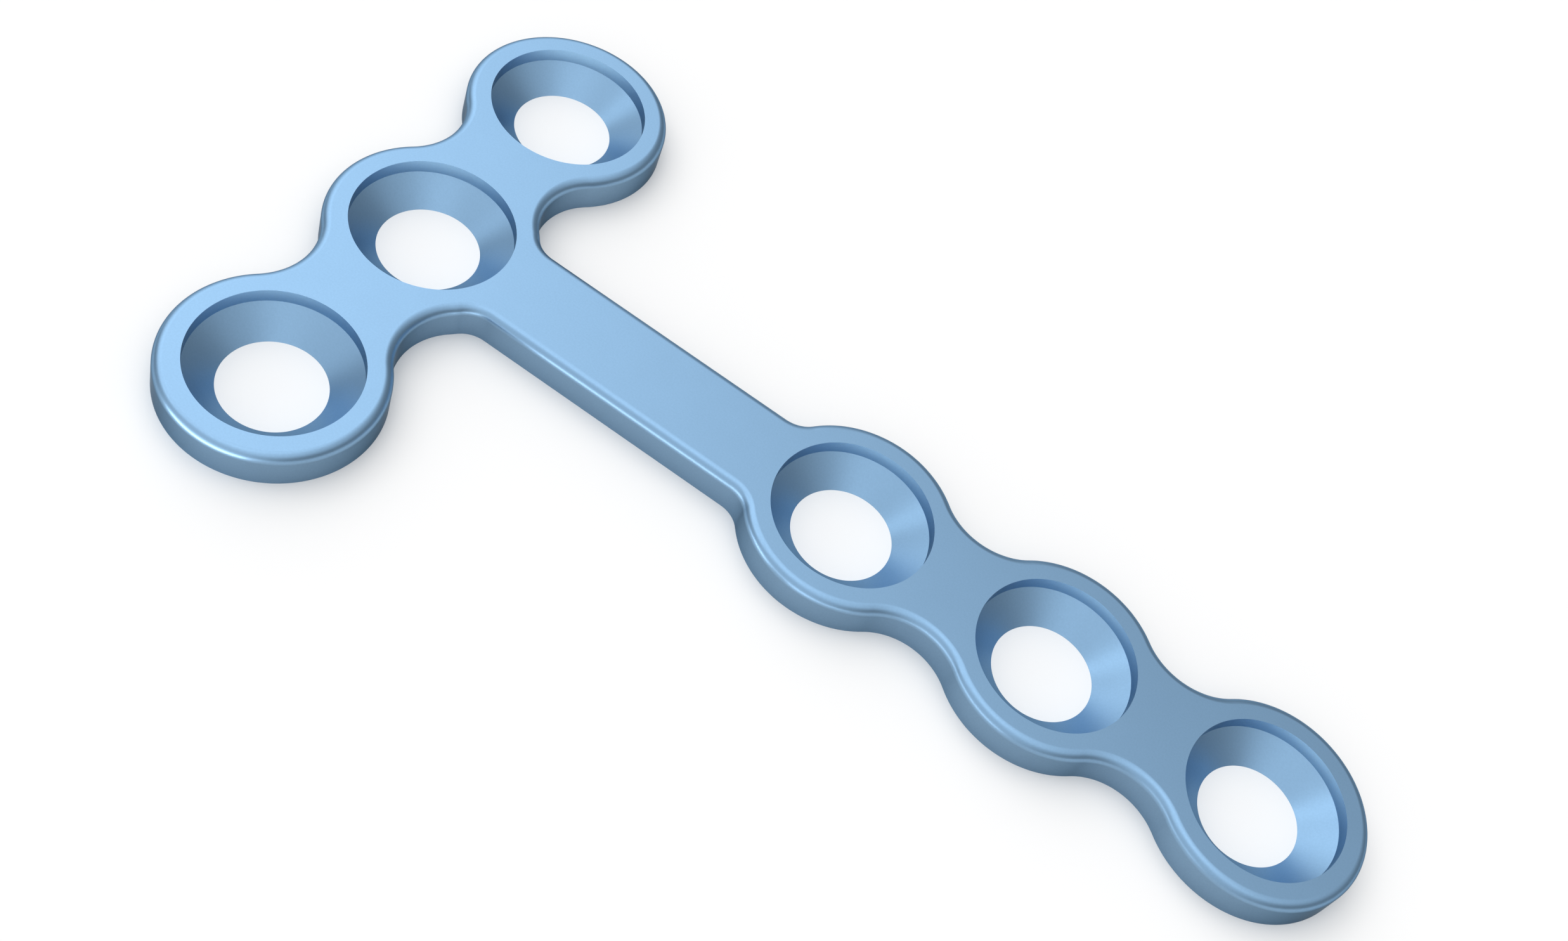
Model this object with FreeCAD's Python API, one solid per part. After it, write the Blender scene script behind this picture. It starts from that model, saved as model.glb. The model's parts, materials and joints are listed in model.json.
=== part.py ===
"""Small T-shaped bone plate, milled from one flat sheet of titanium.

Six rings with countersunk screw holes: a row of rings across the head, a plain bar, and a row of
rings along the shaft. X runs along the shaft, Y across the head, and Z is the thickness. The origin
is under the middle of the overall length and width, in the plane of the underside.
"""
import FreeCAD, Part
import os

# Sheet
PLATE_THICKNESS = 1.0
TOP_EDGE_RADIUS = 0.25

# Rings and the webs that join neighbouring rings
RING_RADIUS = 2.8
WEB_WIDTH = 3.3

# Rows of screw holes
HEAD_HOLE_COUNT = 3
HEAD_HOLE_PITCH = 6.1
SHAFT_HOLE_COUNT = 3
SHAFT_HOLE_PITCH = 6.1

# Plain bar, measured from the row of head holes to the first shaft hole
NECK_LENGTH = 13.1
BAR_WIDTH = 2.8
BAR_CORNER_RADIUS = 0.8

# Screw holes: a straight recess, then a cone that ends in a sharp edge at the underside
RECESS_RADIUS = 2.15
RECESS_DEPTH = 0.4
THROUGH_RADIUS = 1.35

# How far the tool that cuts a hole stands out of the top face
TOOL_OVERSHOOT = 0.5

UP = FreeCAD.Vector(0, 0, 1)


def head_centres():
    """Hole centres of the head, evenly spaced across the shaft's line."""
    x = -(NECK_LENGTH + (SHAFT_HOLE_COUNT - 1) * SHAFT_HOLE_PITCH) / 2
    first = -(HEAD_HOLE_COUNT - 1) * HEAD_HOLE_PITCH / 2
    return [FreeCAD.Vector(x, first + i * HEAD_HOLE_PITCH, 0) for i in range(HEAD_HOLE_COUNT)]


def shaft_centres():
    """Hole centres of the shaft, the first one a neck's length from the head."""
    first = head_centres()[0].x + NECK_LENGTH
    return [FreeCAD.Vector(first + i * SHAFT_HOLE_PITCH, 0, 0) for i in range(SHAFT_HOLE_COUNT)]


def disc(centre, radius):
    """Flat round face in the plane of the underside."""
    circle = Part.Circle(centre, UP, radius)
    return Part.Face(Part.Wire(circle.toShape()))


def web_arc_radius(pitch):
    """Radius of the hollow arc that touches two neighbouring rings and leaves the web its width."""
    half_web = WEB_WIDTH / 2
    half_pitch = pitch / 2
    return (half_web ** 2 + half_pitch ** 2 - RING_RADIUS ** 2) / (2 * (RING_RADIUS - half_web))


def ring_row(centres, pitch):
    """One row of rings. Overlapping larger discs, drawn in again, leave hollow arcs between rings."""
    arc = web_arc_radius(pitch)
    discs = [disc(centre, RING_RADIUS + arc) for centre in centres]
    row = discs[0].multiFuse(discs[1:]).removeSplitter()
    return row.Faces[0].makeOffset2D(-arc)


def bar():
    """Straight bar from the row of head holes to the first shaft hole."""
    corner = FreeCAD.Vector(head_centres()[0].x, -BAR_WIDTH / 2, 0)
    return Part.makePlane(NECK_LENGTH, BAR_WIDTH, corner)


def outline():
    """The plate seen from above. Offset out and back in, its inner corners become round."""
    head = ring_row(head_centres(), HEAD_HOLE_PITCH)
    shaft = ring_row(shaft_centres(), SHAFT_HOLE_PITCH)
    sharp = head.fuse([shaft, bar()]).removeSplitter().Faces[0]
    return sharp.makeOffset2D(BAR_CORNER_RADIUS).makeOffset2D(-BAR_CORNER_RADIUS)


def blank():
    """Sheet of full thickness with its upper edge rounded all the way round."""
    sheet = outline().extrude(UP * PLATE_THICKNESS)
    half = PLATE_THICKNESS / 2
    upper_edges = [edge for edge in sheet.Edges if edge.BoundBox.ZMin > half]
    return sheet.makeFillet(TOP_EDGE_RADIUS, upper_edges)


def hole_tool(centre):
    """Solid of one screw hole: the straight recess on top of the countersink's cone."""
    recess_floor = PLATE_THICKNESS - RECESS_DEPTH
    cone = Part.makeCone(THROUGH_RADIUS, RECESS_RADIUS, recess_floor, centre)
    recess = Part.makeCylinder(RECESS_RADIUS, RECESS_DEPTH + TOOL_OVERSHOOT, centre + UP * recess_floor)
    return cone.fuse(recess)


def t_plate():
    """The finished plate."""
    tools = [hole_tool(centre) for centre in head_centres() + shaft_centres()]
    return blank().cut(tools).Solids[0]


os.makedirs("parts", exist_ok=True)
t_plate().exportStep("parts/t_plate.step")
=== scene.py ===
"""The looks of a small T-shaped bone plate, under soft studio light on a white table."""
import json
import math

import bpy
from mathutils import Matrix, Vector
from mathutils.geometry import delaunay_2d_cdt

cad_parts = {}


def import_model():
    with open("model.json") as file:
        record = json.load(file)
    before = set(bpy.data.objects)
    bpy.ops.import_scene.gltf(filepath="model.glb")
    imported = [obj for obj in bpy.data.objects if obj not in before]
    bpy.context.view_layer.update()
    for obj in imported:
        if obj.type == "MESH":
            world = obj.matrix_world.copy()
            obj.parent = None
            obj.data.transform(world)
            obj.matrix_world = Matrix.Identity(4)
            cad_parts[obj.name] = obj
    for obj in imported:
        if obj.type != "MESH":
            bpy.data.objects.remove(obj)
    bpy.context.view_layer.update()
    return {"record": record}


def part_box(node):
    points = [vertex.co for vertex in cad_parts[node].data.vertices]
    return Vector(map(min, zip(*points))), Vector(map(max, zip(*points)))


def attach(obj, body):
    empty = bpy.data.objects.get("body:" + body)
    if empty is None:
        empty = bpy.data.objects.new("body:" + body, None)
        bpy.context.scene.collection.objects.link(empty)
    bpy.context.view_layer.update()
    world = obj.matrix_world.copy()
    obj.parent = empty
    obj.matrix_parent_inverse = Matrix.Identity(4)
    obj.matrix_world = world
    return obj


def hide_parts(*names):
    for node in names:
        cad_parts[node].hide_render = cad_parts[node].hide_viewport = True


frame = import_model()

MM = 0.001

# Sizes that the frame doesn't state, in metres
WEB_WIDTH = 3.3 * MM
BAR_WIDTH = 2.8 * MM
BAR_CORNER_RADIUS = 0.8 * MM
TOP_EDGE_RADIUS = 0.25 * MM
THROUGH_RADIUS = 1.35 * MM

# How finely the plate's curves are cut
ARC_STEP = math.radians(2)
HOLE_SEGMENTS = 180
EDGE_SEGMENTS = 12

# What is asked of the triangulation: triangles that leave the holes open. Points of the plan that are
# nearer to each other than this, in millimetres, count as one.
TRIANGLES_WITH_HOLES = 2
SAME_POINT = 1e-9

# The photograph's viewpoint, with its angles in degrees
VIEW_TARGET = Vector((-1.589, -0.122, 1.0)) * MM
VIEW_DISTANCE = 47.33 * MM
VIEW_AZIMUTH = -80.36
VIEW_ELEVATION = 51.72
VIEW_ROLL = 27.01
VIEW_ANGLE = 45

# How near and how far the camera sees, in metres
NEAR_LIMIT = 1 * MM
FAR_LIMIT = 10.0

# White table: half its width in metres, and its colour
TABLE_HALF_WIDTH = 2.0
TABLE_WHITE = (0.945, 0.945, 0.945)

# Mesh attribute that holds the colour of each face corner: the film's on most faces, painted shade on the
# outer wall and painted light on the recess walls
FILM_AND_PAINTED_LIGHT = "film_colour"

# Colours: the blue film on the blasted faces; a darker, greyer copy on the outer wall, which is painted
# shade; and a lighter copy on the recess walls, which is painted light
FILM = (0.235, 0.399, 0.591)
WALL_PAINTED_SHADE = (0.221, 0.346, 0.480)
RECESS_PAINTED_LIGHT = (0.435, 0.705, 0.955)

# Grey by which the film darkens what it reflects at a grazing angle
EDGE_TINT = 0.3

# Blasted grain and a faint mottle. Noise stays mostly within its range, and each pair below it is what
# the low and the high end of the range stand for.
NOISE_RANGE = (0.3, 0.7)
GRAIN_SIZE = 0.05 * MM
GRAIN_HEIGHT = 0.002 * MM
BUMP_STRENGTH = 0.08
GRAIN_TONE = (0.98, 1.02)
GRAIN_ROUGHNESS = (0.35, 0.33)
MOTTLE_SIZE = 0.9 * MM
MOTTLE_TONE = (0.992, 1.008)

# Soft studio lights far off, as (azimuth, elevation, half width of the core, half width overall,
# level), with the angles in degrees. A level of 1 reflects as white.
SKY_LEVEL = 0.35
KEY_LIGHT = (146, 63, 0, 44, 0.69)
LOW_BACK_LIGHT = (139, 31, 0, 41, 1.03)
OVERHEAD_LIGHT = (254, 39, 3, 71, 0.66)
SIDE_LIGHT = (10, 74, 9, 50, 0.60)
LEFT_LIGHT = (192, 45, 3, 14, 1.10)

# Low strip lights in front of the plate, as (middle, azimuth of facing, length, height, level), in
# millimetres and degrees
STRIPS = {
    "far_strip": ((-9.3, -23.8, 2.0), 72, 34, 3.6, 1.3),
    "head_strip": ((-13.2, -11.4, 0.4), 85, 6, 0.7, 5.3),
    "bar_strip": ((-5.7, -4.8, 0.4), 85, 7, 0.7, 2.5),
    "shaft_strip": ((3.0, -5.9, 0.5), 70, 6.8, 0.9, 1.05),
}


# Sizes read from the frame

box_low, box_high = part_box("t_plate")
THICKNESS = box_high.z - box_low.z
seats = [mount for mount in frame["record"]["mounts"] if mount["kind"] == "bore"]
HOLES = sorted((mount["pos_m"][0], mount["pos_m"][1]) for mount in seats)
RECESS_RADIUS = seats[0]["dims"]["r_mm"] * MM
RECESS_DEPTH = seats[0]["dims"]["length_mm"] * MM
HEAD_X = HOLES[0][0]
HEAD = [hole for hole in HOLES if hole[0] - HEAD_X < RECESS_RADIUS]
SHAFT = [hole for hole in HOLES if hole[0] - HEAD_X > RECESS_RADIUS]
RING_RADIUS = box_high.x - SHAFT[-1][0]


# Plan outline

def direction(start, end):
    """Angle of the line from one point of the plan to another."""
    return math.atan2(end[1] - start[1], end[0] - start[0])


def swept_arc(centre, radius, start, end, outward):
    """Points of an arc with the plate's outward normals. outward is 1 on a ring and -1 in a hollow."""
    steps = max(1, math.ceil(abs(end - start) / ARC_STEP))
    arc = []
    for i in range(steps + 1):
        angle = start + (end - start) * i / steps
        ray = (math.cos(angle), math.sin(angle))
        point = (centre[0] + radius * ray[0], centre[1] + radius * ray[1])
        arc.append((point, (outward * ray[0], outward * ray[1])))
    return arc


def web_arc(pitch):
    """Radius of the hollow arc between two rings, and its centre's distance from their line."""
    half_web = WEB_WIDTH / 2
    radius = (half_web ** 2 + (pitch / 2) ** 2 - RING_RADIUS ** 2) / (2 * (RING_RADIUS - half_web))
    return radius, half_web + radius


def upper_circles():
    """The circles that the outline follows from the shaft's tip to the back of the head, on the side
    where y is positive. Each is (centre, radius, 1 for a ring or -1 for a hollow)."""
    middle = HEAD[len(HEAD) // 2]
    shaft_radius, shaft_height = web_arc(SHAFT[1][0] - SHAFT[0][0])
    head_radius, head_height = web_arc(HEAD[1][1] - HEAD[0][1])
    circles = [(SHAFT[-1], RING_RADIUS, 1)]
    for ring, before in zip(SHAFT[-2::-1], SHAFT[:0:-1]):
        circles.append((((ring[0] + before[0]) / 2, shaft_height), shaft_radius, -1))
        circles.append((ring, RING_RADIUS, 1))
    corner_height = BAR_WIDTH / 2 + BAR_CORNER_RADIUS
    reach = math.sqrt((RING_RADIUS + BAR_CORNER_RADIUS) ** 2 - corner_height ** 2)
    circles.append(((SHAFT[0][0] - reach, corner_height), BAR_CORNER_RADIUS, -1))
    circles.append(((middle[0] + reach, corner_height), BAR_CORNER_RADIUS, -1))
    circles.append((middle, RING_RADIUS, 1))
    upper = [hole for hole in HEAD if hole[1] >= middle[1]]
    for ring, before in zip(upper[1:], upper):
        circles.append(((HEAD_X + head_height, (ring[1] + before[1]) / 2), head_radius, -1))
        circles.append((ring, RING_RADIUS, 1))
    for ring, before in zip(upper[-2::-1], upper[:0:-1]):
        circles.append(((HEAD_X - head_height, (ring[1] + before[1]) / 2), head_radius, -1))
        circles.append((ring, RING_RADIUS, 1))
    return circles


def touching_angle(circle, neighbour):
    """Angle at which a circle of the outline meets the next or the last one, seen from its centre. The
    two hollows at the bar's ends meet its straight side there instead."""
    if circle[2] == neighbour[2]:
        return -math.pi / 2
    return direction(circle[0], neighbour[0])


def outline():
    """Points and outward normals all round the plate, counter-clockwise."""
    circles = upper_circles()
    half = []
    for i, circle in enumerate(circles):
        centre, radius, outward = circle
        start = touching_angle(circle, circles[i - 1]) if i else 0.0
        end = touching_angle(circle, circles[i + 1]) if i + 1 < len(circles) else math.pi
        if outward > 0 and end < start:
            end += 2 * math.pi
        if outward < 0 and end > start:
            end -= 2 * math.pi
        arc = swept_arc(centre, radius, start, end, outward)
        # Neighbouring arcs share a point, except for the two that the bar's side lies between
        half += arc if not half or circles[i - 1][2] == outward else arc[1:]
    mirrored = [((x, -y), (nx, -ny)) for (x, y), (nx, ny) in half[-2:0:-1]]
    return half + mirrored


# Plate mesh

class Skin:
    """Vertices and faces, and for each face corner its exact normal and its colour, which is the film's
    on most faces, painted shade on the outer wall and painted light on the recess walls.
    """

    def __init__(self):
        self.points = []
        self.faces = []
        self.normals = []
        self.colours = []

    def loop(self, points):
        """Adds a closed loop of points and returns their numbers."""
        first = len(self.points)
        self.points += points
        return list(range(first, first + len(points)))

    def strip(self, first, second, first_normals, second_normals, first_colour=FILM, second_colour=FILM):
        """A band of quads between two anticlockwise loops of equal count. It faces away from their middle
        if the second loop is the upper one, and towards it if not."""
        count = len(first)
        for i in range(count):
            j = (i + 1) % count
            self.faces.append((first[i], first[j], second[j], second[i]))
            self.normals += [first_normals[i], first_normals[j], second_normals[j], second_normals[i]]
            self.colours += [first_colour, first_colour, second_colour, second_colour]

    def flat(self, loops, up):
        """A flat face inside the first loop and outside the others. up is 1 if it faces up and -1 if it
        faces down."""
        numbers = [number for loop in loops for number in loop]
        plan = [Vector(self.points[number][:2]) / MM for number in numbers]
        sides = []
        start = 0
        for loop in loops:
            side = list(range(start, start + len(loop)))
            sides.append(side[::-1] if sides else side)
            start += len(loop)
        faces = delaunay_2d_cdt(plan, [], sides, TRIANGLES_WITH_HOLES, SAME_POINT)[2]
        for face in faces:
            corners = [numbers[i] for i in (face if up > 0 else reversed(face))]
            self.faces.append(tuple(corners))
            self.normals += [(0, 0, up)] * len(corners)
            self.colours += [FILM] * len(corners)


def outer_level(skin, border, tilt):
    """A loop of the outer skin where the surface's normal is tilted up by this angle, with its normals.
    On the straight wall the tilt is 0, and over the rounded edge it goes to a quarter turn."""
    inset = TOP_EDGE_RADIUS * (1 - math.cos(tilt))
    z = THICKNESS - TOP_EDGE_RADIUS * (1 - math.sin(tilt))
    points = [(x - inset * nx, y - inset * ny, z) for (x, y), (nx, ny) in border]
    normals = [(nx * math.cos(tilt), ny * math.cos(tilt), math.sin(tilt)) for _, (nx, ny) in border]
    return skin.loop(points), normals


def outer_shade_and_film(tilt):
    """Colour where the outer skin is tilted up by this angle. It goes from the wall's painted shade to
    the upper face's film over the rounded edge."""
    # Share of the painted shade: full on the wall, gone on the top
    shade_share = (1 - math.sin(tilt)) ** 2
    return tuple(shade_share * wall + (1 - shade_share) * face for wall, face in zip(WALL_PAINTED_SHADE, FILM))


def outer_skin(skin):
    """Wall and rounded upper edge. Returns the loops that bound the underside and the top."""
    border = outline()
    wall_normals = [(nx, ny, 0) for _, (nx, ny) in border]
    below = skin.loop([(x, y, 0) for (x, y), _ in border])
    loop, normals = outer_level(skin, border, 0.0)
    # The wall carries the painted shade all over
    skin.strip(below, loop, wall_normals, normals, WALL_PAINTED_SHADE, WALL_PAINTED_SHADE)
    tilt = 0.0
    for i in range(EDGE_SEGMENTS):
        next_tilt = math.pi / 2 * (i + 1) / EDGE_SEGMENTS
        next_loop, next_normals = outer_level(skin, border, next_tilt)
        # Over the rounded edge the painted shade fades into the film
        skin.strip(loop, next_loop, normals, next_normals, outer_shade_and_film(tilt), outer_shade_and_film(next_tilt))
        loop, normals, tilt = next_loop, next_normals, next_tilt
    return below, loop


def hole_skin(skin, hole):
    """Cone and recess of one screw hole. Returns the loops that bound the underside and the top."""
    angles = [2 * math.pi * i / HOLE_SEGMENTS for i in range(HOLE_SEGMENTS)]
    rays = [(math.cos(angle), math.sin(angle)) for angle in angles]

    def circle(radius, z):
        return skin.loop([(hole[0] + radius * cx, hole[1] + radius * cy, z) for cx, cy in rays])

    cone_height = THICKNESS - RECESS_DEPTH
    cone_run = RECESS_RADIUS - THROUGH_RADIUS
    slant = math.hypot(cone_height, cone_run)
    inward = cone_height / slant
    cone_normals = [(-inward * cx, -inward * cy, cone_run / slant) for cx, cy in rays]
    wall_normals = [(-cx, -cy, 0) for cx, cy in rays]
    below = circle(THROUGH_RADIUS, 0)
    foot = circle(RECESS_RADIUS, cone_height)
    rim = circle(RECESS_RADIUS, THICKNESS)
    skin.strip(foot, below, cone_normals, cone_normals)
    # The recess walls carry painted light, a lighter copy of the film; the cones keep the film
    skin.strip(rim, foot, wall_normals, wall_normals, RECESS_PAINTED_LIGHT, RECESS_PAINTED_LIGHT)
    return below, rim


def plate():
    """The whole plate as one closed mesh with exact normals."""
    skin = Skin()
    below, top = outer_skin(skin)
    holes = [hole_skin(skin, hole) for hole in HOLES]
    skin.flat([below] + [hole[0] for hole in holes], -1)
    skin.flat([top] + [hole[1] for hole in holes], 1)
    mesh = bpy.data.meshes.new("plate")
    mesh.from_pydata(skin.points, [], skin.faces)
    mesh.shade_smooth()
    mesh.normals_split_custom_set(skin.normals)
    colours = [value for film in skin.colours for value in (*film, 1)]
    mesh.color_attributes.new(FILM_AND_PAINTED_LIGHT, "FLOAT_COLOR", "CORNER").data.foreach_set("color", colours)
    mesh.validate()
    piece = bpy.data.objects.new("plate", mesh)
    bpy.context.scene.collection.objects.link(piece)
    return piece


# Materials

def new_material(name):
    """A material with only a Principled shader and its output. Returns it, its nodes and the shader."""
    material = bpy.data.materials.new(name)
    material.use_nodes = True
    tree = material.node_tree
    return material, tree, tree.nodes["Principled BSDF"]


def noise(tree, size, detail):
    """Noise in the plate's own coordinates, with features of this size."""
    place = tree.nodes.new("ShaderNodeTexCoord")
    texture = tree.nodes.new("ShaderNodeTexNoise")
    texture.inputs["Scale"].default_value = 1 / size
    texture.inputs["Detail"].default_value = detail
    tree.links.new(place.outputs["Object"], texture.inputs["Vector"])
    return texture.outputs["Fac"]


def spread(tree, value, ends):
    """Maps a noise to values between two ends."""
    step = tree.nodes.new("ShaderNodeMapRange")
    step.inputs["From Min"].default_value, step.inputs["From Max"].default_value = NOISE_RANGE
    step.inputs["To Min"].default_value, step.inputs["To Max"].default_value = ends
    tree.links.new(value, step.inputs["Value"])
    return step.outputs["Result"]


def combined(tree, operation, first, second):
    """The sum or the product of two values."""
    step = tree.nodes.new("ShaderNodeMath")
    step.operation = operation
    tree.links.new(first, step.inputs[0])
    tree.links.new(second, step.inputs[1])
    return step.outputs["Value"]


def anodised_titanium():
    """Satin blasted titanium under a pale blue film."""
    material, tree, shader = new_material("anodised_titanium")
    grain = noise(tree, GRAIN_SIZE, detail=1.0)
    mottle = noise(tree, MOTTLE_SIZE, detail=3.0)

    # The base colour comes from the mesh attribute, the film with painted shade on the outer wall and
    # painted light on the recess walls, times the grain and mottle tone
    film = tree.nodes.new("ShaderNodeAttribute")
    film.attribute_name = FILM_AND_PAINTED_LIGHT
    tone = combined(tree, "MULTIPLY", spread(tree, grain, GRAIN_TONE), spread(tree, mottle, MOTTLE_TONE))
    shade = tree.nodes.new("ShaderNodeVectorMath")
    shade.operation = "SCALE"
    tree.links.new(film.outputs["Color"], shade.inputs[0])
    tree.links.new(tone, shade.inputs["Scale"])
    tree.links.new(shade.outputs["Vector"], shader.inputs["Base Color"])

    tree.links.new(spread(tree, grain, GRAIN_ROUGHNESS), shader.inputs["Roughness"])
    shader.inputs["Metallic"].default_value = 1.0
    shader.inputs["Specular Tint"].default_value = (EDGE_TINT, EDGE_TINT, EDGE_TINT, 1)

    bump = tree.nodes.new("ShaderNodeBump")
    bump.inputs["Strength"].default_value = BUMP_STRENGTH
    bump.inputs["Distance"].default_value = GRAIN_HEIGHT
    tree.links.new(grain, bump.inputs["Height"])
    tree.links.new(bump.outputs["Normal"], shader.inputs["Normal"])
    return material


def white_table():
    """Plain matt white."""
    material, _, shader = new_material("white_table")
    shader.inputs["Base Color"].default_value = (*TABLE_WHITE, 1)
    shader.inputs["Roughness"].default_value = 1.0
    shader.inputs["Specular IOR Level"].default_value = 0.0
    return material


# Scene

def heading(azimuth, elevation):
    """Unit vector towards an azimuth and an elevation, both in degrees."""
    a, e = math.radians(azimuth), math.radians(elevation)
    return Vector((math.cos(e) * math.cos(a), math.cos(e) * math.sin(a), math.sin(e)))


def floor():
    """The table that the plate lies on, in the plane of its underside."""
    half = TABLE_HALF_WIDTH
    corners = [(-half, -half, 0), (half, -half, 0), (half, half, 0), (-half, half, 0)]
    mesh = bpy.data.meshes.new("table")
    mesh.from_pydata(corners, [], [(0, 1, 2, 3)])
    table = bpy.data.objects.new("table", mesh)
    bpy.context.scene.collection.objects.link(table)
    mesh.materials.append(white_table())


def camera():
    """Camera at the photograph's viewpoint, aimed at the middle of its frame and rolled to its slant."""
    data = bpy.data.cameras.new("camera")
    data.sensor_fit = "HORIZONTAL"
    data.angle = math.radians(VIEW_ANGLE)
    data.clip_start = NEAR_LIMIT
    data.clip_end = FAR_LIMIT
    eye = bpy.data.objects.new("camera", data)
    bpy.context.scene.collection.objects.link(eye)
    away = heading(VIEW_AZIMUTH, VIEW_ELEVATION)
    roll = Matrix.Rotation(math.radians(VIEW_ROLL), 4, "Z")
    turn = away.to_track_quat("Z", "Y").to_matrix().to_4x4() @ roll
    eye.matrix_world = Matrix.Translation(VIEW_TARGET + away * VIEW_DISTANCE) @ turn
    bpy.context.scene.camera = eye


def strip_light(name, lit, middle, facing, length, height, level):
    """A low upright strip light for the objects of one collection. A mirror would show it at its level,
    but the camera doesn't see it."""
    data = bpy.data.lights.new(name, "AREA")
    data.shape = "RECTANGLE"
    data.size = length * MM
    data.size_y = height * MM
    data.energy = level * math.pi * data.size * data.size_y
    lamp = bpy.data.objects.new(name, data)
    bpy.context.scene.collection.objects.link(lamp)
    turn = heading(facing, 0).to_track_quat("-Z", "Y").to_matrix().to_4x4()
    lamp.matrix_world = Matrix.Translation(Vector(middle) * MM) @ turn
    lamp.light_linking.receiver_collection = lit
    lamp.visible_camera = False


def strip_lights(piece):
    """The strip lights. They light the piece alone, and not the table."""
    lit = bpy.data.collections.new("lit_by_strips")
    lit.objects.link(piece)
    for name, strip in STRIPS.items():
        strip_light(name, lit, *strip)


def soft_light(tree, sky_direction, azimuth, elevation, core, reach, level):
    """Brightness of one soft light in each direction of the sky."""
    nearness = tree.nodes.new("ShaderNodeVectorMath")
    nearness.operation = "DOT_PRODUCT"
    nearness.inputs[1].default_value = heading(azimuth, elevation)
    tree.links.new(sky_direction, nearness.inputs[0])
    glow = tree.nodes.new("ShaderNodeMapRange")
    glow.interpolation_type = "SMOOTHSTEP"
    glow.inputs["From Min"].default_value = math.cos(math.radians(reach))
    glow.inputs["From Max"].default_value = math.cos(math.radians(core))
    glow.inputs["To Max"].default_value = level
    tree.links.new(nearness.outputs["Value"], glow.inputs["Value"])
    return glow.outputs["Result"]


def world():
    """A dim even sky with soft lights in it."""
    sky = bpy.data.worlds.new("studio")
    sky.use_nodes = True
    tree = sky.node_tree
    background = tree.nodes["Background"]
    background.inputs["Color"].default_value = (1, 1, 1, 1)
    place = tree.nodes.new("ShaderNodeTexCoord")
    even = tree.nodes.new("ShaderNodeValue")
    even.outputs["Value"].default_value = SKY_LEVEL
    total = even.outputs["Value"]
    for light in (KEY_LIGHT, LOW_BACK_LIGHT, OVERHEAD_LIGHT, SIDE_LIGHT, LEFT_LIGHT):
        total = combined(tree, "ADD", total, soft_light(tree, place.outputs["Generated"], *light))
    tree.links.new(total, background.inputs["Strength"])
    bpy.context.scene.world = sky


# The plate in its scene

body = plate()
body.data.materials.append(anodised_titanium())
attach(body, "root")
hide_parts("t_plate")
floor()
camera()
strip_lights(body)
world()
bpy.context.scene.view_settings.view_transform = "Standard"
